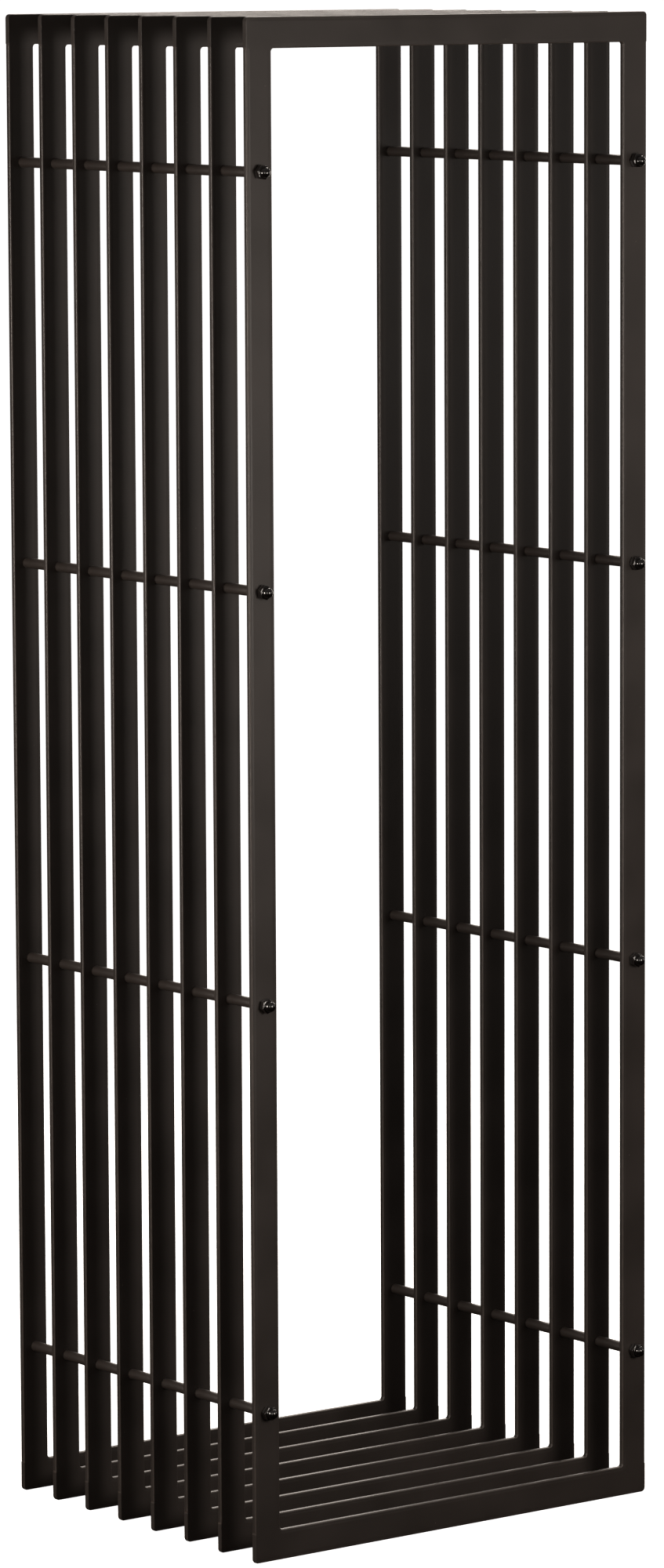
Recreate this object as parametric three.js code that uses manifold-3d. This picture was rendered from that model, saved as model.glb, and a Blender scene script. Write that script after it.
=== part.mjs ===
// Firewood log rack. Rectangular frames of flat steel bar stand one behind another. Spacer sleeves on tie
// rods hold them apart, and a cap nut closes each end of each rod. Millimetres, +Z up, X across the log bay,
// Y from front to back. The origin is on the floor under the middle of the rack.
import * as THREE from 'three';
import { mergeVertices } from 'three/addons/utils/BufferGeometryUtils.js';
import Module from 'manifold-3d';

const wasm = await Module();
wasm.setup();

// Frames
const rackWidth = 495;
const rackHeight = 1500;
const frameCount = 8;
const barWidth = 30;
const barThickness = 6;
const barEdgeBevel = 1; // rolled long edges of the bar
const outerCornerRadius = 4;
const innerCornerRadius = 3; // weld fillet where a post meets a rail

// Tie rods and the sleeves on them
const rodDiameter = 8;
const rodLevels = 4;
const lowestRodHeight = 149;
const highestRodDrop = 147; // from the top of the frame to the highest rod
const sleeveLength = 50;
const sleeveWall = 0.9;

// Cap nuts
const nutWall = 2.2; // from the bore to the flats
const nutHexHeight = 6.5;
const nutHeight = 13.6;
const nutDomeWall = 1; // from the bore to the foot of the dome
const nutCrownWall = 0.8; // least steel between the end of the bore and the round of the dome
const rodEndClearance = 1.5; // left between the rod's end and the bottom of the nut's bore

// Fits
const contactGap = 0.3; // between faces that touch on the real rack
const rodClearance = 0.3; // radial, in the frames, the sleeves and the nuts

// Fineness of the round pieces
const roundSides = 10;
const domeRings = 3;
const cornerSegments = 1; // half the steps of a quarter turn

// Worked out from the sizes above
const framePitch = barThickness + sleeveLength + 2 * contactGap;
const rackDepth = (frameCount - 1) * framePitch + barThickness;
const boreRadius = rodDiameter / 2 + rodClearance;
const sleeveRadius = boreRadius + sleeveWall;
const nutAcrossFlats = 2 * (boreRadius + nutWall);
const domeRadius = boreRadius + nutDomeWall;
const domeCentre = nutHeight - domeRadius;
const nutBoreDepth = domeCentre + Math.sqrt((domeRadius - nutCrownWall) ** 2 - boreRadius ** 2);
const rodReach = contactGap + nutBoreDepth - rodEndClearance; // past the outer face of an end frame
const rodLength = rackDepth + 2 * rodReach;
const levelPitch = (rackHeight - lowestRodHeight - highestRodDrop) / (rodLevels - 1);

const coatedSteel = new THREE.MeshStandardMaterial({ color: 0x2b2724, roughness: 0.5, metalness: 0.2 });
const coatedTube = new THREE.MeshStandardMaterial({ color: 0x22201e, roughness: 0.45, metalness: 0.2 });
const platedSteel = new THREE.MeshStandardMaterial({ color: 0x8b8c8d, roughness: 0.4, metalness: 1 });
const glossBlack = new THREE.MeshStandardMaterial({ color: 0x0f0d0c, roughness: 0.15, metalness: 0.4 });

// The two walls of the rack: the rods run through the middle of the posts.
const walls = [
  { name: 'left', x: -(rackWidth - barWidth) / 2 },
  { name: 'right', x: (rackWidth - barWidth) / 2 },
];

function frameY(index) {
  return -rackDepth / 2 + barThickness / 2 + index * framePitch;
}

function gapY(index) {
  return frameY(index) + framePitch / 2;
}

function levelZ(index) {
  return lowestRodHeight + index * levelPitch;
}

function toSolid(geometry) {
  const bare = geometry.clone();
  bare.deleteAttribute('normal');
  bare.deleteAttribute('uv');
  const merged = mergeVertices(bare, 1e-4);
  const vertProperties = new Float32Array(merged.attributes.position.array);
  const triVerts = new Uint32Array(merged.index.array);
  return new wasm.Manifold(new wasm.Mesh({ numProp: 3, vertProperties, triVerts }));
}

function toGeometry(solid) {
  const mesh = solid.getMesh();
  const geometry = new THREE.BufferGeometry();
  geometry.setAttribute('position', new THREE.BufferAttribute(mesh.vertProperties, 3));
  geometry.setIndex(new THREE.BufferAttribute(mesh.triVerts, 1));
  geometry.computeVertexNormals();
  return geometry;
}

// A solid of revolution about Y, from [radius, y] points that start and end on the axis.
function turned(points) {
  return new THREE.LatheGeometry(points.map(([r, y]) => new THREE.Vector2(r, y)), roundSides);
}

// A closed rectangle with round corners, as a shape or as a hole in one.
function roundedRectangle(path, width, height, radius) {
  const x = width / 2 - radius;
  const y = height / 2 - radius;
  path.moveTo(x + radius, -y);
  path.absarc(x, y, radius, 0, Math.PI / 2);
  path.absarc(-x, y, radius, Math.PI / 2, Math.PI);
  path.absarc(-x, -y, radius, Math.PI, 1.5 * Math.PI);
  path.absarc(x, -y, radius, 1.5 * Math.PI, 2 * Math.PI);
  return path;
}

// One frame, standing in the XZ plane about Y = 0, with its rod holes cut.
function frameGeometry() {
  const inset = 2 * barEdgeBevel; // the bevel grows the outline back to its full size
  const outer = [rackWidth - inset, rackHeight - inset, outerCornerRadius - barEdgeBevel];
  const window = [
    rackWidth - 2 * barWidth + inset,
    rackHeight - 2 * barWidth + inset,
    innerCornerRadius + barEdgeBevel,
  ];
  const shape = roundedRectangle(new THREE.Shape(), ...outer);
  shape.holes.push(roundedRectangle(new THREE.Path(), ...window));
  const plate = new THREE.ExtrudeGeometry(shape, {
    depth: barThickness - inset,
    curveSegments: cornerSegments,
    bevelEnabled: true,
    bevelThickness: barEdgeBevel,
    bevelSize: barEdgeBevel,
    bevelSegments: 1,
  });
  plate.translate(0, 0, barEdgeBevel - barThickness / 2);
  plate.rotateX(Math.PI / 2);
  plate.translate(0, 0, rackHeight / 2);

  let frame = toSolid(plate);
  const drill = new THREE.CylinderGeometry(boreRadius, boreRadius, 2 * barThickness, roundSides);
  for (const wall of walls) {
    for (let level = 0; level < rodLevels; level += 1) {
      const hole = drill.clone().translate(wall.x, 0, levelZ(level));
      frame = frame.subtract(toSolid(hole));
    }
  }
  return toGeometry(frame);
}

// A plain rod along Y.
function rodGeometry() {
  return new THREE.CylinderGeometry(rodDiameter / 2, rodDiameter / 2, rodLength, roundSides);
}

// A rod along Y with its sleeves joined to it.
function sleevedRodGeometry() {
  const rodRadius = rodDiameter / 2;
  const profile = [[0, -rodLength / 2], [rodRadius, -rodLength / 2]];
  for (let gap = 0; gap < frameCount - 1; gap += 1) {
    const start = gapY(gap) - sleeveLength / 2;
    const end = gapY(gap) + sleeveLength / 2;
    profile.push([rodRadius, start], [sleeveRadius, start]);
    profile.push([sleeveRadius, end], [rodRadius, end]);
  }
  profile.push([rodRadius, rodLength / 2], [0, rodLength / 2]);
  return turned(profile);
}

// A tube along Y that slips over the rod.
function sleeveGeometry() {
  return turned([
    [boreRadius, -sleeveLength / 2],
    [sleeveRadius, -sleeveLength / 2],
    [sleeveRadius, sleeveLength / 2],
    [boreRadius, sleeveLength / 2],
    [boreRadius, -sleeveLength / 2],
  ]);
}

// A cap nut with its seat at Y = 0 and its dome towards +Y.
function capNutGeometry() {
  const hexRadius = nutAcrossFlats / 2 / Math.cos(Math.PI / 6);
  const hex = new THREE.CylinderGeometry(hexRadius, hexRadius, nutHexHeight, 6);
  hex.translate(0, nutHexHeight / 2, 0);

  const profile = [[0, 0], [domeRadius, 0]];
  for (let ring = 0; ring <= domeRings; ring += 1) {
    const angle = (ring / domeRings) * (Math.PI / 2);
    profile.push([domeRadius * Math.cos(angle), domeCentre + domeRadius * Math.sin(angle)]);
  }
  profile[profile.length - 1][0] = 0;

  const bore = new THREE.CylinderGeometry(boreRadius, boreRadius, 2 * nutBoreDepth, roundSides);
  return toGeometry(toSolid(hex).add(toSolid(turned(profile))).subtract(toSolid(bore)));
}

function addMesh(group, name, geometry, material, x, y, z) {
  const mesh = new THREE.Mesh(geometry, material.clone());
  mesh.name = name;
  mesh.position.set(x, y, z);
  group.add(mesh);
  return mesh;
}

function addFrames(rack) {
  const geometry = frameGeometry();
  for (let index = 0; index < frameCount; index += 1) {
    addMesh(rack, `frame_${index + 1}`, geometry, coatedSteel, 0, frameY(index), 0);
  }
}

// The left wall's sleeves are separate pieces, and the right wall's are joined to their rods.
function addRodsAndSleeves(rack) {
  const rod = rodGeometry();
  const sleevedRod = sleevedRodGeometry();
  const sleeve = sleeveGeometry();
  const [left, right] = walls;
  for (let level = 0; level < rodLevels; level += 1) {
    const z = levelZ(level);
    addMesh(rack, `tie_rod_left_${level + 1}`, rod, platedSteel, left.x, 0, z);
    addMesh(rack, `sleeved_tie_rod_right_${level + 1}`, sleevedRod, coatedTube, right.x, 0, z);
    for (let gap = 0; gap < frameCount - 1; gap += 1) {
      addMesh(rack, `sleeve_left_${level + 1}_${gap + 1}`, sleeve, coatedTube, left.x, gapY(gap), z);
    }
  }
}

function addCapNuts(rack) {
  const geometry = capNutGeometry();
  const seatY = rackDepth / 2 + contactGap;
  for (const wall of walls) {
    for (let level = 0; level < rodLevels; level += 1) {
      const z = levelZ(level);
      const label = `${wall.name}_${level + 1}`;
      const front = addMesh(rack, `cap_nut_front_${label}`, geometry, glossBlack, wall.x, -seatY, z);
      front.rotation.z = Math.PI;
      addMesh(rack, `cap_nut_back_${label}`, geometry, glossBlack, wall.x, seatY, z);
    }
  }
}

const rack = new THREE.Group();
addFrames(rack);
addRodsAndSleeves(rack);
addCapNuts(rack);

export default rack;
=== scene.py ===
import math
import random

import bmesh
import bpy
from mathutils import Matrix, Vector


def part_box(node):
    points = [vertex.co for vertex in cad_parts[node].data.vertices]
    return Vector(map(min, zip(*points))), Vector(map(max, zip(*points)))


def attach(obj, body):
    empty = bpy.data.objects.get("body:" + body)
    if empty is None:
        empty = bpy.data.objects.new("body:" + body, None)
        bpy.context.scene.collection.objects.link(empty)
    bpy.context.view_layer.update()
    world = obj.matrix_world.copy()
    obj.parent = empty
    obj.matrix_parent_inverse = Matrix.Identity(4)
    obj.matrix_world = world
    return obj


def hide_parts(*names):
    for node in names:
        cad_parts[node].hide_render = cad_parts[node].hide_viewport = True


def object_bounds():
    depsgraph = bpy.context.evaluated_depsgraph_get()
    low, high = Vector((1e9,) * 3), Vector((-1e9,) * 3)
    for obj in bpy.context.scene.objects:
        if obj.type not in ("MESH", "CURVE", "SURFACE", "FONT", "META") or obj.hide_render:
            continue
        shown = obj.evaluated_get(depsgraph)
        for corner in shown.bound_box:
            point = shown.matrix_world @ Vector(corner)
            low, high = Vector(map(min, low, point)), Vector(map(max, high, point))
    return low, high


# A firewood rack: frames of flat steel bar on sleeved tie rods, powder coated black, with cap nuts.
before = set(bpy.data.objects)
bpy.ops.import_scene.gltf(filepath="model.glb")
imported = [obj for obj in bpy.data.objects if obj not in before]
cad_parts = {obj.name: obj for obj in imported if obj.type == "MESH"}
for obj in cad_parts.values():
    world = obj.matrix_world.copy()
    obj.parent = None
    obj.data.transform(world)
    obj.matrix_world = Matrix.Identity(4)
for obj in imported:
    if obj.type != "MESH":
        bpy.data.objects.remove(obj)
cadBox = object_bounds()
print("frame loaded:", len(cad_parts), "CAD nodes")

mm = 0.001
rackBody = "root"
frameCount = 8
levelCount = 4
walls = ("left", "right")
chance = random.Random(31)  # the small differences between one weld and the next


def nodeMiddle(name):
    low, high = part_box(name)
    return (low + high) / 2


# Where the frames stand and where the rods run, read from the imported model.
frameBoxes = [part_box(f"frame_{i + 1}") for i in range(frameCount)]
rodNodes = {"left": "tie_rod_left_", "right": "sleeved_tie_rod_right_"}
rodMiddles = {(wall, level): nodeMiddle(f"{rodNodes[wall]}{level + 1}")
              for wall in walls for level in range(levelCount)}
rodLow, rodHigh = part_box("tie_rod_left_1")
sleeveLow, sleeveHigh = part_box("sleeve_left_1_1")
nutLow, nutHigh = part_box("cap_nut_back_left_1")
rodRadius = (rodHigh.z - rodLow.z) / 2
runningGap = 0.3 * mm  # round a rod, in every hole that it goes through
boreRadius = rodRadius + runningGap


def linearColor(hexColor):
    def channel(start):
        value = int(hexColor[start:start + 2], 16) / 255
        return value / 12.92 if value <= 0.04045 else ((value + 0.055) / 1.055) ** 2.4
    return channel(1), channel(3), channel(5), 1.0


# Adds a node. A setting is one of the node's own properties or the value of an input.
def addNode(tree, kind, settings=None, links=None):
    node = tree.nodes.new(kind)
    for key, value in (settings or {}).items():
        if isinstance(key, str) and key in node.bl_rna.properties:
            setattr(node, key, value)
        else:
            node.inputs[key].default_value = value
    for key, source in (links or {}).items():
        tree.links.new(source, node.inputs[key])
    return node


def newMaterial(name, settings):
    material = bpy.data.materials.new(name)
    material.use_nodes = True
    tree = material.node_tree
    tree.nodes.clear()
    shader = addNode(tree, "ShaderNodeBsdfPrincipled", settings)
    addNode(tree, "ShaderNodeOutputMaterial", links={"Surface": shader.outputs["BSDF"]})
    material.diffuse_color = settings["Base Color"]
    return material, tree, shader


# A frame is two posts butted between two full-width rails, welded and ground flush on both faces.
bar = {
    "width": 30 * mm,
    "edgeRound": 1.5 * mm,
    "edgeSteps": 8,
    "shoulder": (2.3 * mm, 4.4 * mm),  # the mill left the face low by an edge, and it rises between these
    "shoulderDrop": 0.15 * mm,
    "shoulderSteps": 4,
    "sawnShare": 0.3,  # how soft the edges of a rail's sawn end are, next to the rolled ones
    "outerCorner": (3.4 * mm, 4.4 * mm),  # least and most, because each corner is ground by hand
    "innerWeld": (2.48 * mm, 3.72 * mm),
    "cornerSteps": 6,
    "seamHalf": 0.7 * mm,  # the weld line between a rail's end and the post below it
    "seamDepth": 0.25 * mm,
    "railShort": (0.06 * mm, 0.3 * mm),  # how far a rail's end stands back from the post
    "holeSides": 28,
    "flatLeast": 0.999,  # a side that faces along Y at least this closely is shaded flat
}


# Polyester powder coat, sprayed and baked on hot-rolled steel. It gives a warm satin black with the fine
# dimples of baked powder, a paler line on the arrises and weld lines that is partly thinner film and partly
# a painted highlight, grainy over a sawn bar end, and gently uneven where a weld was ground flush under it.
powderCoat = {
    "film": "#2b2623",
    "dustyFilm": "#312b28",
    "thinFilmAndHighlightColor": "#463e39",  # where the film draws back from an edge; also a painted highlight on the arrises and weld lines
    "nib": "#8d867f",  # a grain of dust caught in the film
    "roughness": (0.38, 0.47),
    "dimple": 2.2 * mm,  # orange peel; drawn about twice as coarse as real, so that it shows
    "dimpleHeight": 0.02 * mm,
    "cloud": 70 * mm,  # slow change of film thickness along a bar
    "cloudColor": (0.35, 0.7),  # the cloud's values between which the colour changes, and the gloss
    "cloudGloss": (0.3, 0.75),
    "edgeBreak": 5 * mm,  # how often the paler edge line, thin film and painted highlight, comes and goes
    "edgeBreakSpread": (0.3, 0.7),
    "edgeLeast": 0.35,  # how much of the paler line is left where it is faintest
    "sawMark": 2.0 * mm,
    "sawHeight": 0.3 * mm,
    "nibSpacing": 22 * mm,
    "nibSize": 0.45 * mm,
    "nibShare": 0.7,  # how much of a grain's own colour shows through the film
    "dressing": 5 * mm,  # waves that the grinding disc left at a weld
    "dressingHeight": 0.1 * mm,
    "dressedReach": 10 * mm,  # how far the grinding went on each side of the weld
}


# How strongly a point lies in the ground band across a post, where the rail was welded to it.
def dressedBand(tree, place):
    reach = powderCoat["dressedReach"]
    middleZ = (cadBox[0].z + cadBox[1].z) / 2
    postInside = cadBox[1].x - bar["width"]
    axes = addNode(tree, "ShaderNodeSeparateXYZ", links={"Vector": place}).outputs

    up = addNode(tree, "ShaderNodeMath", {"operation": "SUBTRACT", 1: middleZ}, {0: axes["Z"]})
    height = addNode(tree, "ShaderNodeMath", {"operation": "ABSOLUTE"}, {0: up.outputs["Value"]})
    overWeld = addNode(tree, "ShaderNodeMath", {"operation": "SUBTRACT", 1: middleZ - bar["width"]},
                       {0: height.outputs["Value"]})
    fromWeld = addNode(tree, "ShaderNodeMath", {"operation": "ABSOLUTE"}, {0: overWeld.outputs["Value"]})
    inBand = addNode(tree, "ShaderNodeMapRange",
                     {"From Min": 0, "From Max": reach, "To Min": 1, "To Max": 0},
                     {"Value": fromWeld.outputs["Value"]})

    aside = addNode(tree, "ShaderNodeMath", {"operation": "ABSOLUTE"}, {0: axes["X"]})
    onPost = addNode(tree, "ShaderNodeMapRange",
                     {"From Min": postInside - reach / 2, "From Max": postInside},
                     {"Value": aside.outputs["Value"]})
    return addNode(tree, "ShaderNodeMath", {"operation": "MULTIPLY"},
                   {0: inBand.outputs["Result"], 1: onPost.outputs["Result"]}).outputs["Value"]


# The film's colour: slow clouds, a paler broken line on the arrises and weld lines, which is partly thin
# film and partly painted highlight, and the grains of dust.
def powderCoatColor(tree, cloud, breakUp, nib):
    look = powderCoat
    start, end = look["cloudColor"]
    cloudy = addNode(tree, "ShaderNodeMapRange", {"From Min": start, "From Max": end}, {"Value": cloud})
    color = addNode(tree, "ShaderNodeMix",
                    {"data_type": "RGBA", 6: linearColor(look["film"]), 7: linearColor(look["dustyFilm"])},
                    {0: cloudy.outputs["Result"]})
    # The paler line painted here is partly thin film and partly a painted highlight.
    thinAndHighlight = addNode(tree, "ShaderNodeAttribute", {"attribute_name": "thinCoatAndHighlight"})
    start, end = look["edgeBreakSpread"]
    uneven = addNode(tree, "ShaderNodeMapRange",
                     {"From Min": start, "From Max": end, "To Min": look["edgeLeast"]}, {"Value": breakUp})
    thinAndHighlightShare = addNode(tree, "ShaderNodeMath", {"operation": "MULTIPLY"},
                   {0: thinAndHighlight.outputs["Fac"], 1: uneven.outputs["Result"]})
    color = addNode(tree, "ShaderNodeMix", {"data_type": "RGBA", 7: linearColor(look["thinFilmAndHighlightColor"])},
                    {0: thinAndHighlightShare.outputs["Value"], 6: color.outputs[2]})
    color = addNode(tree, "ShaderNodeMix", {"data_type": "RGBA", 7: linearColor(look["nib"])},
                    {0: nib, 6: color.outputs[2]})
    return color.outputs[2]


# Relief of what lies under the film: the saw's marks on a bar's end, and the disc's waves at a weld.
def addWeldBump(tree, place, below):
    look = powderCoat
    sawn = addNode(tree, "ShaderNodeAttribute", {"attribute_name": "sawn"})
    marks = addNode(tree, "ShaderNodeTexNoise",
                    {"Scale": 1 / look["sawMark"], "Detail": 3.0, "Roughness": 0.7}, {"Vector": place})
    shown = addNode(tree, "ShaderNodeMath", {"operation": "MULTIPLY"},
                    {0: marks.outputs["Fac"], 1: sawn.outputs["Fac"]})
    bump = addNode(tree, "ShaderNodeBump", {"Distance": look["sawHeight"]},
                   {"Height": shown.outputs["Value"], "Normal": below.outputs["Normal"]})
    waves = addNode(tree, "ShaderNodeTexNoise", {"Scale": 1 / look["dressing"]}, {"Vector": place})
    shown = addNode(tree, "ShaderNodeMath", {"operation": "MULTIPLY"},
                    {0: waves.outputs["Fac"], 1: dressedBand(tree, place)})
    return addNode(tree, "ShaderNodeBump", {"Distance": look["dressingHeight"]},
                   {"Height": shown.outputs["Value"], "Normal": bump.outputs["Normal"]})


def powderCoatMaterial(name, welded):
    look = powderCoat
    low, high = look["roughness"]
    material, tree, shader = newMaterial(name, {
        "Base Color": linearColor(look["film"]), "Roughness": low, "IOR": 1.5,
    })
    place = addNode(tree, "ShaderNodeTexCoord").outputs["Object"]
    cloud = addNode(tree, "ShaderNodeTexNoise", {"Scale": 1 / look["cloud"], "Detail": 3.0},
                    {"Vector": place})
    breakUp = addNode(tree, "ShaderNodeTexNoise", {"Scale": 1 / look["edgeBreak"], "Detail": 4.0},
                      {"Vector": place})
    reach = look["nibSize"] / look["nibSpacing"]
    cells = addNode(tree, "ShaderNodeTexVoronoi", {"Scale": 1 / look["nibSpacing"]}, {"Vector": place})
    nib = addNode(tree, "ShaderNodeMapRange",
                  {"From Min": reach / 2, "From Max": reach, "To Min": look["nibShare"], "To Max": 0},
                  {"Value": cells.outputs["Distance"]})
    color = powderCoatColor(tree, cloud.outputs["Fac"], breakUp.outputs["Fac"], nib.outputs["Result"])
    tree.links.new(color, shader.inputs["Base Color"])
    start, end = look["cloudGloss"]
    rough = addNode(tree, "ShaderNodeMapRange",
                    {"From Min": start, "From Max": end, "To Min": low, "To Max": high},
                    {"Value": cloud.outputs["Fac"]})
    tree.links.new(rough.outputs["Result"], shader.inputs["Roughness"])

    dimple = addNode(tree, "ShaderNodeTexNoise", {"Scale": 1 / look["dimple"]}, {"Vector": place})
    bump = addNode(tree, "ShaderNodeBump", {"Distance": look["dimpleHeight"]},
                   {"Height": dimple.outputs["Fac"]})
    bump = addNode(tree, "ShaderNodeBump", {"Distance": look["nibSize"] / 2},
                   {"Height": nib.outputs["Result"], "Normal": bump.outputs["Normal"]})
    if welded:
        bump = addWeldBump(tree, place, bump)
    tree.links.new(bump.outputs["Normal"], shader.inputs["Normal"])
    return material


# Zinc-plated steel rod, drawn and thread-rolled. It gives a cool soft metal sheen inside the sleeves.
zincPlate = {"metal": "#a9abad", "dull": "#7f8184", "roughness": 0.36, "spangle": 3 * mm}


def zincPlateMaterial(name):
    look = zincPlate
    material, tree, shader = newMaterial(name, {
        "Base Color": linearColor(look["metal"]), "Metallic": 1.0, "Roughness": look["roughness"],
    })
    place = addNode(tree, "ShaderNodeTexCoord").outputs["Object"]
    spangle = addNode(tree, "ShaderNodeTexNoise", {"Scale": 1 / look["spangle"], "Detail": 4.0},
                      {"Vector": place})
    color = addNode(tree, "ShaderNodeMix",
                    {"data_type": "RGBA", 6: linearColor(look["metal"]), 7: linearColor(look["dull"])},
                    {0: spangle.outputs["Fac"]})
    tree.links.new(color.outputs[2], shader.inputs["Base Color"])
    return material


# Black lacquer over cold-forged steel. It gives a deep gloss with small sharp lights and a bright rim.
blackLacquer = {
    "lacquer": "#0d0b0a",
    "rubbedAndHighlight": "#2a2624",  # thinner on the hexagon's corners, where a spanner has turned, and a painted highlight on its edges
    "roughness": (0.09, 0.23),
    "smear": 6 * mm,
    "ripple": 2.5 * mm,
    "rippleHeight": 0.01 * mm,
}


def blackLacquerMaterial(name):
    look = blackLacquer
    low, high = look["roughness"]
    material, tree, shader = newMaterial(name, {
        "Base Color": linearColor(look["lacquer"]), "Roughness": low, "IOR": 1.52,
        "Coat Weight": 0.6, "Coat Roughness": 0.06,
    })
    place = addNode(tree, "ShaderNodeTexCoord").outputs["Object"]
    # The paler colour on the hexagon's edges is partly rubbed lacquer and partly a painted highlight.
    thinCoatAndHighlight = addNode(tree, "ShaderNodeAttribute", {"attribute_name": "thinCoatAndHighlight"}).outputs["Fac"]
    color = addNode(tree, "ShaderNodeMix",
                    {"data_type": "RGBA", 6: linearColor(look["lacquer"]), 7: linearColor(look["rubbedAndHighlight"])},
                    {0: thinCoatAndHighlight})
    tree.links.new(color.outputs[2], shader.inputs["Base Color"])
    smear = addNode(tree, "ShaderNodeTexNoise", {"Scale": 1 / look["smear"], "Detail": 3.0},
                    {"Vector": place})
    rough = addNode(tree, "ShaderNodeMapRange", {"To Min": low, "To Max": high},
                    {"Value": smear.outputs["Fac"]})
    tree.links.new(rough.outputs["Result"], shader.inputs["Roughness"])
    ripple = addNode(tree, "ShaderNodeTexNoise", {"Scale": 1 / look["ripple"]}, {"Vector": place})
    bump = addNode(tree, "ShaderNodeBump", {"Distance": look["rippleHeight"]},
                   {"Height": ripple.outputs["Fac"]})
    tree.links.new(bump.outputs["Normal"], shader.inputs["Normal"])
    return material


barCoat = powderCoatMaterial("powder_coat_on_flat_bar", welded=True)
tubeCoat = powderCoatMaterial("powder_coat_on_tube", welded=False)
rodZinc = zincPlateMaterial("zinc_plated_rod")
nutLacquer = blackLacquerMaterial("black_lacquer_on_forged_nut")
print("materials made:", len(bpy.data.materials))


# Turns a filled bmesh into a smooth mesh. The normals at its corners can be given by cornerNormal.
def finishMesh(name, shape, material, cornerNormal=None):
    mesh = bpy.data.meshes.new(name)
    bmesh.ops.recalc_face_normals(shape, faces=shape.faces)
    shape.to_mesh(mesh)
    shape.free()
    mesh.materials.append(material)
    mesh.polygons.foreach_set("use_smooth", [True] * len(mesh.polygons))
    if cornerNormal:
        normals = [cornerNormal(polygon, index) for polygon in mesh.polygons for index in polygon.vertices]
        mesh.normals_split_custom_set(normals)
    return mesh


# Sides between each ring of vertices and the next.
def joinRings(shape, rings):
    for ring, nextRing in zip(rings, rings[1:]):
        for i in range(len(ring)):
            j = (i + 1) % len(ring)
            shape.faces.new((ring[i], ring[j], nextRing[j], nextRing[i]))


# A piece stands for the CAD nodes named, and moves with the rack.
def addPiece(name, mesh, nodes, place=Matrix()):
    piece = bpy.data.objects.new(name, mesh)
    piece.matrix_world = place
    bpy.context.scene.collection.objects.link(piece)
    bpy.context.view_layer.update()
    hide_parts(*nodes)
    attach(piece, rackBody)


# One corner of the outline, from the post to the rail. Each point is its distance in from the post's outer
# face and from the rail's, the way it faces, how far it is sawn steel, and how thin its film is and how
# much highlight is painted on it.
def outerCornerRun():
    short = chance.uniform(*bar["railShort"])
    radius = chance.uniform(*bar["outerCorner"])
    width, half = bar["width"], bar["seamHalf"]
    # The three points across the weld line are painted paler: partly thin film, partly a painted highlight
    # where the bead catches the light.
    run = [(0, width + 2 * half, 0, 0, 0),
           (0, width + half, 0, 0, 1),
           (bar["seamDepth"] + short, width, 0, 0.5, 1),
           (short, width - half, 0, 1, 1),
           (short, width - 2 * half, 0, 1, 0)]
    for step in range(bar["cornerSteps"] + 1):
        share = step / bar["cornerSteps"]
        turn = share * math.pi / 2
        fromSide, fromEnd = short + radius * (1 - math.cos(turn)), radius * (1 - math.sin(turn))
        run.append((fromSide, fromEnd, turn, 1 - share, 0))
    return run


# One corner of the window, with the fillet of its weld, in the same terms.
def innerCornerRun():
    radius = chance.uniform(*bar["innerWeld"])
    run = []
    for step in range(bar["cornerSteps"] + 1):
        turn = step / bar["cornerSteps"] * math.pi / 2
        fromSide, fromEnd = radius * (1 - math.cos(turn)), radius * (1 - math.sin(turn))
        run.append((bar["width"] + fromSide, bar["width"] + fromEnd, turn, 0, 0))
    return run


# The whole outline, anticlockwise as seen from the front, as (x, z, facing x, facing z, sawn, thin film and
# painted highlight).
def frameOutline(cornerRun, low, high):
    points = []
    for right, top in ((1, 1), (0, 1), (0, 0), (1, 0)):
        run = cornerRun()
        if right != top:
            run.reverse()
        for fromSide, fromEnd, turn, sawn, thinAndHighlight in run:
            x = high.x - fromSide if right else low.x + fromSide
            z = high.z - fromEnd if top else low.z + fromEnd
            faceX, faceZ = math.cos(turn) * (1 if right else -1), math.sin(turn) * (1 if top else -1)
            points.append((x, z, faceX, faceZ, sawn, thinAndHighlight))
    return points


# The true normal at each point of a closed outline, from the lengths and ways of the sides that meet there.
def outlineNormals(points):
    sides = [Vector((after[1] - here[1], here[0] - after[0]))
             for here, after in zip(points, points[1:] + points[:1])]
    return [(before + after).normalized() for before, after in zip(sides[-1:] + sides[:-1], sides)]


# The section at an arris, from the flat of the face to the side. Each row is how far in over the face it
# lies, how far below it, its lean towards the side and towards the face, and how thin the film is there,
# with the highlight painted on it, strongest midway round the round.
def arrisProfile():
    shoulderEnd, shoulderStart = bar["shoulder"]
    rows = []
    for step in range(bar["shoulderSteps"] + 1):
        share = step / bar["shoulderSteps"]
        inset = shoulderStart + (shoulderEnd - shoulderStart) * share
        drop = bar["shoulderDrop"] * share * share * (3 - 2 * share)
        slope = bar["shoulderDrop"] * 6 * share * (1 - share) / (shoulderStart - shoulderEnd)
        rows.append((inset, drop, slope, 1, 0))
    for step in range(bar["edgeSteps"] + 1):
        turn = step / bar["edgeSteps"] * math.pi / 2
        inset = bar["edgeRound"] * (1 - math.sin(turn))
        drop = bar["shoulderDrop"] + bar["edgeRound"] * (1 - math.cos(turn))
        # Midway round the arris it is painted paler: partly thin film, partly a painted highlight.
        rows.append((inset, drop, math.sin(turn), math.cos(turn), math.sin(2 * turn) ** 2))
    return rows


# Carries an outline over the arris of one face, from the flat to the side, with a ring for each row.
def arrisRings(addVertex, points, inward, side, face):
    outward = outlineNormals(points)
    rings = []
    for inset, drop, leanOut, leanUp, arrisThinAndHighlight in arrisProfile():
        ring = []
        for (x, z, faceX, faceZ, sawn, thinAndHighlight), normal in zip(points, outward):
            size = 1 + (bar["sawnShare"] - 1) * sawn
            reach = inset * size * inward
            lean = Vector((normal.x * leanOut, side * leanUp, normal.y * leanOut)).normalized()
            place = (x - faceX * reach, face - side * drop * size, z - faceZ * reach)
            ring.append(addVertex(place, lean, max(arrisThinAndHighlight, thinAndHighlight * leanOut), sawn * leanOut))
        rings.append(ring)
    return rings


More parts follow.
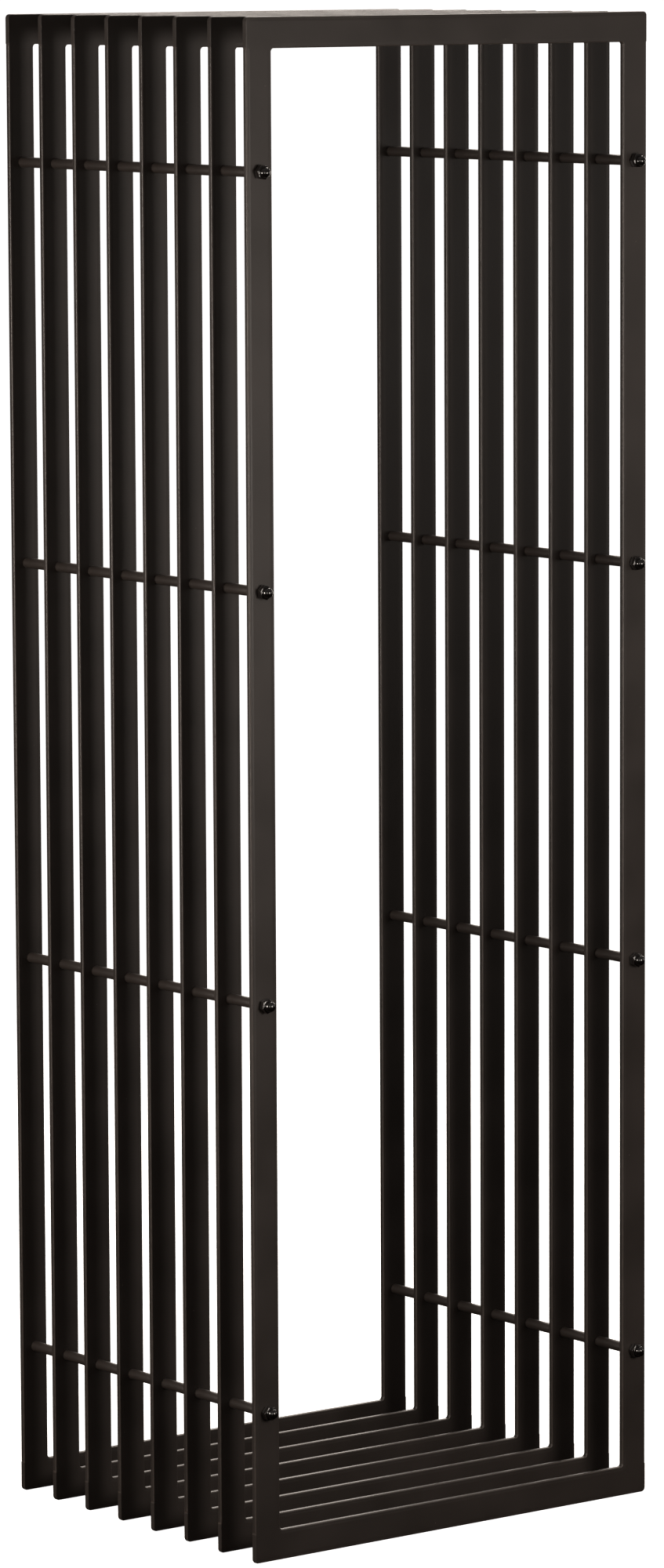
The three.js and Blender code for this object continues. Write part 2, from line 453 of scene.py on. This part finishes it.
# One end of a drilled hole.
def holeRing(addVertex, middle, face):
    ring = []
    for i in range(bar["holeSides"]):
        turn = 2 * math.pi * i / bar["holeSides"]
        arm = Vector((math.cos(turn), 0, math.sin(turn)))
        place = (middle.x + arm.x * boreRadius, face, middle.z + arm.z * boreRadius)
        ring.append(addVertex(place, -arm))
    return ring


# Fills a face between its outline, its window and its holes.
def fillFace(shape, rings):
    edges = []
    for ring in rings:
        for pair in zip(ring, ring[1:] + ring[:1]):
            edges.append(shape.edges.get(pair) or shape.edges.new(pair))
    bmesh.ops.triangle_fill(shape, use_beauty=True, use_dissolve=False, edges=edges)


def frameMesh(name, low, high):
    shape = bmesh.new()
    # This layer paints edges paler: partly thin film, partly a painted highlight.
    thinCoatAndHighlightLayer = shape.verts.layers.float.new("thinCoatAndHighlight")
    sawnLayer = shape.verts.layers.float.new("sawn")
    normals = []  # one for each vertex, in the order they are made

    def addVertex(place, normal, thinCoatAndHighlight=0.0, sawn=0.0):
        vertex = shape.verts.new(place)
        vertex[thinCoatAndHighlightLayer] = thinCoatAndHighlight
        vertex[sawnLayer] = sawn
        normals.append(normal)
        return vertex

    outer = frameOutline(outerCornerRun, low, high)
    window = frameOutline(innerCornerRun, low, high)[::-1]
    frontRings = []
    backRings = []
    for points, inward in ((outer, 1), (window, -1)):
        front = arrisRings(addVertex, points, inward, -1, low.y)
        back = arrisRings(addVertex, points, inward, 1, high.y)
        frontRings.append(front[0])
        backRings.append(back[0])
        joinRings(shape, front + back[::-1])
    for middle in rodMiddles.values():
        frontRings.append(holeRing(addVertex, middle, low.y))
        backRings.append(holeRing(addVertex, middle, high.y))
        joinRings(shape, [frontRings[-1], backRings[-1]])
    fillFace(shape, frontRings)
    fillFace(shape, backRings)
    shape.verts.index_update()

    def cornerNormal(polygon, index):
        isFlat = abs(polygon.normal.y) > bar["flatLeast"]
        return polygon.normal if isFlat else normals[index]

    return finishMesh(name, shape, barCoat, cornerNormal)


for index, (low, high) in enumerate(frameBoxes):
    name = f"frame_{index + 1}"
    addPiece(f"{name}_welded", frameMesh(name, low, high), [name])
print("frames made:", frameCount)


# A sleeve is a length of thin tube, cut square and lightly deburred.
sleeve = {"deburr": 0.3 * mm, "deburrSteps": 3, "sides": 40}


# A rounded corner of the section, as (radius, y, thin film and painted highlight). The round itself is
# painted paler, partly thin film and partly a painted highlight.
def deburredCorner(centreRadius, centreY, start):
    steps, soft = sleeve["deburrSteps"], sleeve["deburr"]
    rows = []
    for i in range(steps + 1):
        turn = start + math.pi / 2 * i / steps
        thinAndHighlight = 1.0 if 0 < i < steps else 0.0
        rows.append((centreRadius + soft * math.cos(turn), centreY + soft * math.sin(turn), thinAndHighlight))
    return rows


def sleeveMesh():
    half = (sleeveHigh.y - sleeveLow.y) / 2
    outside = (sleeveHigh.z - sleeveLow.z) / 2
    soft = sleeve["deburr"]
    section = [(boreRadius, -half + soft / 2, 0.0), (boreRadius + soft / 2, -half, 0.0)]
    section += deburredCorner(outside - soft, -half + soft, -math.pi / 2)
    section += deburredCorner(outside - soft, half - soft, 0)
    section += [(boreRadius + soft / 2, half, 0.0), (boreRadius, half - soft / 2, 0.0)]
    shape = bmesh.new()
    thinCoatAndHighlightLayer = shape.verts.layers.float.new("thinCoatAndHighlight")
    rings = []
    for radius, y, thinAndHighlight in section:
        ring = []
        for i in range(sleeve["sides"]):
            turn = 2 * math.pi * i / sleeve["sides"]
            vertex = shape.verts.new((radius * math.cos(turn), y, radius * math.sin(turn)))
            vertex[thinCoatAndHighlightLayer] = thinAndHighlight
            ring.append(vertex)
        rings.append(ring)
    joinRings(shape, rings + rings[:1])
    return finishMesh("spacer_sleeve", shape, tubeCoat)


# A tie rod is plain in its shank and threaded where the nuts hold it.
rod = {
    "pitch": 1.25 * mm,
    "threadDepth": 0.65 * mm,
    "threadLength": 16 * mm,
    "lead": 0.8 * mm,  # length of the chamfer that takes the rod's end down to the thread's root
    "rowsPerTurn": 6,
    "sides": 24,
}


# How far a rod's surface lies from its middle line, at a place along it and a share of a turn round it.
def rodSurface(y, share, half):
    fromEnd = half - abs(y)
    if fromEnd >= rod["threadLength"]:
        return rodRadius
    full = min(1, fromEnd / rod["lead"])
    cut = abs(2 * ((y / rod["pitch"] + share) % 1) - 1)
    return rodRadius - rod["threadDepth"] * (1 - full + full * cut)


def rodMesh():
    half = (rodHigh.y - rodLow.y) / 2
    rows = [half]
    while rows[-1] > half - rod["threadLength"]:
        rows.append(rows[-1] - rod["pitch"] / rod["rowsPerTurn"])
    rows += [0]
    rows = [-y for y in rows] + rows[-2::-1]
    shape = bmesh.new()
    rings = []
    for y in rows:
        ring = []
        for i in range(rod["sides"]):
            share = i / rod["sides"]
            radius = rodSurface(y, share, half)
            turn = 2 * math.pi * share
            ring.append(shape.verts.new((radius * math.cos(turn), y, radius * math.sin(turn))))
        rings.append(ring)
    joinRings(shape, rings)
    shape.faces.new(rings[0])
    shape.faces.new(rings[-1])
    return finishMesh("tie_rod", shape, rodZinc)


sleeveShape = sleeveMesh()
rodShape = rodMesh()
for (wall, level), middle in rodMiddles.items():
    label = f"{wall}_{level + 1}"
    node = f"{rodNodes[wall]}{level + 1}"
    addPiece(f"threaded_rod_{label}", rodShape, [node], Matrix.Translation(middle))
    for gap in range(frameCount - 1):
        y = (frameBoxes[gap][1].y + frameBoxes[gap + 1][0].y) / 2
        stands = [f"sleeve_left_{level + 1}_{gap + 1}"] if wall == "left" else [node]
        turn = Matrix.Rotation(chance.uniform(0, 2 * math.pi), 4, "Y")
        place = Matrix.Translation((middle.x, y, middle.z)) @ turn
        addPiece(f"spacer_{label}_{gap + 1}", sleeveShape, stands, place)
print("tie rods and sleeves made")


# A cap nut is a hexagon with chamfered corners under a closed dome.
nut = {
    "acrossFlats": nutHigh.x - nutLow.x,
    "height": nutHigh.y - nutLow.y,
    "hexHeight": 6.5 * mm,
    "cornerRound": 0.35 * mm,
    "chamfer": math.radians(30),
    "edgeSoft": 0.22 * mm,
    "lowerRubAndHighlight": 0.3,  # how far the lacquer is rubbed, and a highlight painted, at the hexagon's lower edge and round its upper one
    "upperRubAndHighlight": (0.2, 1, 0.6),
    "domeWall": 1.0 * mm,
    "domeSteps": 12,
    "footRound": 0.5 * mm,
    "footSteps": 3,
    "flatSteps": 7,
    "cornerSteps": 4,
    "boreDepth": 9.6 * mm,
    "boreLead": 0.4 * mm,
    "borePoint": 0.8 * mm,
    "seatShare": 0.96,  # of the flats: the seat's radius, and that of the chamfer's upper circle
}


# The hexagon's outline with its corners rounded, as (angle, radius) pairs.
def hexOutline():
    flat = nut["acrossFlats"] / 2
    soft = nut["cornerRound"]
    halfSide = (flat - soft) * math.tan(math.pi / 6)
    pairs = []
    for side in range(6):
        way = side * math.pi / 3
        points = []
        for i in range(nut["flatSteps"] + 1):
            points.append((flat, halfSide * (2 * i / nut["flatSteps"] - 1)))
        for i in range(1, nut["cornerSteps"]):
            turn = math.pi / 3 * i / nut["cornerSteps"]
            points.append((flat - soft + soft * math.cos(turn), halfSide + soft * math.sin(turn)))
        for across, along in points:
            pairs.append((way + math.atan2(along, across), math.hypot(across, along)))
    return pairs


# The hollow round at the dome's foot and the dome itself up to its tip, as (radius, y) rows.
def domeRows():
    domeRadius = boreRadius + nut["domeWall"]
    domeCentre = nut["height"] - domeRadius
    foot = nut["footRound"]
    rows = []
    for i in range(nut["footSteps"] + 1):
        turn = math.pi / 2 * i / nut["footSteps"]
        rows.append((domeRadius + foot * (1 - math.sin(turn)),
                     nut["hexHeight"] + foot * (1 - math.cos(turn))))
    for i in range(nut["domeSteps"]):
        turn = math.pi / 2 * i / nut["domeSteps"]
        rows.append((domeRadius * math.cos(turn), domeCentre + domeRadius * math.sin(turn)))
    return rows


def nutMesh():
    slope = math.tan(nut["chamfer"])
    soft = nut["edgeSoft"]
    top = nut["hexHeight"]
    seat = nut["acrossFlats"] / 2 * nut["seatShare"]
    underRubAndHighlight, edgeRubAndHighlight, overRubAndHighlight = nut["upperRubAndHighlight"]
    outline = hexOutline()
    shape = bmesh.new()
    thinCoatAndHighlightLayer = shape.verts.layers.float.new("thinCoatAndHighlight")

    # The radius and height at each point, from the hexagon's radius there, and how far the lacquer is
    # rubbed and painted paler as a highlight.
    def ringOf(radiusAndHeight, thinCoatAndHighlight=0.0):
        ring = []
        for turn, hexRadius in outline:
            radius, y = radiusAndHeight(hexRadius)
            vertex = shape.verts.new((radius * math.cos(turn), y, radius * math.sin(turn)))
            vertex[thinCoatAndHighlightLayer] = thinCoatAndHighlight
            ring.append(vertex)
        return ring

    # How far the chamfer cuts down at a radius of the hexagon.
    def chamferCut(hexRadius):
        return max(0.0, hexRadius - seat) * slope

    # Out of the bore, over the seat and round the hexagon, whose edges are softened by shares of edgeSoft.
    rings = [
        ringOf(lambda r: (boreRadius, nut["boreDepth"])),
        ringOf(lambda r: (boreRadius, nut["boreLead"])),
        ringOf(lambda r: (boreRadius + nut["boreLead"], 0)),
        ringOf(lambda r: (seat - soft / 2, 0)),
        ringOf(lambda r: (r - soft, chamferCut(r)), nut["lowerRubAndHighlight"]),
        ringOf(lambda r: (r, chamferCut(r) + soft), nut["lowerRubAndHighlight"]),
        # The rings at the hexagon's upper edge are painted paler: partly rubbed lacquer, partly a painted
        # highlight.
        ringOf(lambda r: (r, top - chamferCut(r) - soft * 1.4), underRubAndHighlight),
        ringOf(lambda r: (r - soft * 0.25, top - chamferCut(r) - soft * 0.5), edgeRubAndHighlight),
        ringOf(lambda r: (r - soft, top - chamferCut(r - soft)), overRubAndHighlight),
        ringOf(lambda r: (seat - soft, top)),
    ]
    for row in domeRows():
        rings.append(ringOf(lambda r, row=row: row))
    joinRings(shape, rings)
    for ring, y in ((rings[0], nut["boreDepth"] + nut["borePoint"]), (rings[-1], nut["height"])):
        tip = shape.verts.new((0, y, 0))
        for i in range(len(outline)):
            shape.faces.new((ring[i], ring[(i + 1) % len(outline)], tip))
    return finishMesh("cap_nut", shape, nutLacquer)


nutShape = nutMesh()
for wall in walls:
    for level in range(levelCount):
        for end, facing in (("front", math.pi), ("back", 0)):
            node = f"cap_nut_{end}_{wall}_{level + 1}"
            low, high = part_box(node)
            middle = (low + high) / 2
            seatY = high.y if end == "front" else low.y
            place = Matrix.Translation((middle.x, seatY, middle.z)) @ Matrix.Rotation(facing, 4, "Z")
            place = place @ Matrix.Rotation(chance.uniform(0, math.pi / 3), 4, "Y")
            addPiece(f"acorn_nut_{end}_{wall}_{level + 1}", nutShape, [node], place)
print("cap nuts made")


# A light table: a pale sheet lit from below, with soft boxes round it and a dim room beyond.
studio = {
    "sheet": "#e9e8e6",
    "glow": 0.95,
    "sheetRadius": 400.0,  # so far off that its edge lies on the horizon
    "sheetSides": 96,
    "backdrop": 0.97,
    "below": 0.0,  # brightness of the room under the horizon, at it and overhead
    "horizon": 0.02,
    "zenith": 0.2,
    "lowRise": (-0.3, 0.1),  # heights, from -1 straight down to 1 straight up, over which it changes
    "highRise": (0.2, 0.8),
    "roomTint": "#fff6ee",
}


# Opal acrylic sheet, cast and lit from below. It gives an even, almost white ground without a gloss.
def addFloor():
    shape = bmesh.new()
    bmesh.ops.create_circle(shape, cap_ends=True, radius=studio["sheetRadius"],
                            segments=studio["sheetSides"])
    acrylic = newMaterial("opal_acrylic_sheet", {
        "Base Color": linearColor(studio["sheet"]), "Roughness": 0.8, "Specular IOR Level": 0.0,
        "Emission Color": linearColor("#ffffff"), "Emission Strength": studio["glow"],
    })[0]
    floor = bpy.data.objects.new("light_table", finishMesh("light_table", shape, acrylic))
    floor.visible_diffuse = False  # the rack is lit by the soft boxes and not from under the sheet
    floor.visible_glossy = False
    bpy.context.scene.collection.objects.link(floor)


# The room's light depends on height only. What is seen past the sheet's edge is as pale as the sheet.
def addWorld():
    world = bpy.data.worlds.new("studio_room")
    bpy.context.scene.world = world
    world.use_nodes = True
    tree = world.node_tree
    tree.nodes.clear()
    way = addNode(tree, "ShaderNodeTexCoord").outputs["Generated"]
    height = addNode(tree, "ShaderNodeSeparateXYZ", links={"Vector": way}).outputs["Z"]
    start, end = studio["lowRise"]
    low = addNode(tree, "ShaderNodeMapRange",
                  {"From Min": start, "From Max": end,
                   "To Min": studio["below"], "To Max": studio["horizon"]},
                  {"Value": height})
    start, end = studio["highRise"]
    rise = studio["zenith"] - studio["horizon"]
    high = addNode(tree, "ShaderNodeMapRange",
                   {"From Min": start, "From Max": end, "To Min": 0.0, "To Max": rise}, {"Value": height})
    light = addNode(tree, "ShaderNodeMath", {"operation": "ADD"},
                    {0: low.outputs["Result"], 1: high.outputs["Result"]})
    room = addNode(tree, "ShaderNodeBackground", {"Color": linearColor(studio["roomTint"])},
                   {"Strength": light.outputs["Value"]})
    backdrop = addNode(tree, "ShaderNodeBackground",
                       {"Color": linearColor("#ffffff"), "Strength": studio["backdrop"]})
    seen = addNode(tree, "ShaderNodeLightPath").outputs["Is Camera Ray"]
    mixed = addNode(tree, "ShaderNodeMixShader",
                    links={0: seen, 1: room.outputs["Background"], 2: backdrop.outputs["Background"]})
    addNode(tree, "ShaderNodeOutputWorld", links={"Surface": mixed.outputs["Shader"]})


# Soft boxes: azimuth round the rack from straight in front, height, distance, size and power.
softBoxes = {
    "front": {"azimuth": 4, "height": 1.0, "distance": 2.2, "size": 0.9, "power": 21.5},
    "left": {"azimuth": -97, "height": 0.95, "distance": 2.3, "size": 0.8, "power": 38},
    "camera_side": {"azimuth": -45, "height": 1.1, "distance": 2.6, "size": 1.6, "power": 10},
    "right": {"azimuth": 58, "height": 1.2, "distance": 2.4, "size": 1.2, "power": 4},
    "behind": {"azimuth": 135, "height": 1.2, "distance": 2.6, "size": 1.7, "power": 24},
    "overhead": {"azimuth": 135, "height": 3.0, "distance": 1.9, "size": 1.6, "power": 60},
}
softBoxTint = "#fff4ea"
softBoxAim = 0.75  # the height that they all point at


def addLights():
    aim = Vector((0, 0, softBoxAim))
    for name, box in softBoxes.items():
        light = bpy.data.lights.new(name, "AREA")
        light.shape = "DISK"
        light.size = box["size"]
        light.energy = box["power"]
        light.color = linearColor(softBoxTint)[:3]
        lamp = bpy.data.objects.new(name, light)
        turn = math.radians(box["azimuth"])
        lamp.location = (box["distance"] * math.sin(turn), -box["distance"] * math.cos(turn), box["height"])
        lamp.rotation_euler = (aim - lamp.location).to_track_quat("-Z", "Y").to_euler()
        lamp.visible_camera = False
        bpy.context.scene.collection.objects.link(lamp)


# The camera stands a little above the rack's middle and turns about a point on its middle line.
camera = {
    "azimuth": -37.27,
    "elevation": 7.276,
    "distance": 6.714,
    "aim": (0.002, -0.002, 0.7277),
    "roll": -0.28,
    "lens": 152.95,
    "sensor": 36,
    "farthest": 1000.0,
}


def addCamera():
    view = bpy.data.cameras.new("camera")
    view.lens = camera["lens"]
    view.sensor_width = camera["sensor"]
    view.clip_end = camera["farthest"]
    turn, rise = math.radians(camera["azimuth"]), math.radians(camera["elevation"])
    back = Vector((math.sin(turn) * math.cos(rise), -math.cos(turn) * math.cos(rise), math.sin(rise)))
    eye = bpy.data.objects.new("camera", view)
    level = (-back).to_track_quat("-Z", "Y").to_matrix().to_4x4()
    roll = Matrix.Rotation(math.radians(camera["roll"]), 4, "Z")
    eye.matrix_world = Matrix.Translation(Vector(camera["aim"]) + back * camera["distance"]) @ level @ roll
    bpy.context.scene.collection.objects.link(eye)
    bpy.context.scene.camera = eye


addFloor()
addWorld()
addLights()
addCamera()
bpy.context.scene.view_settings.view_transform = "Standard"
print("studio made")
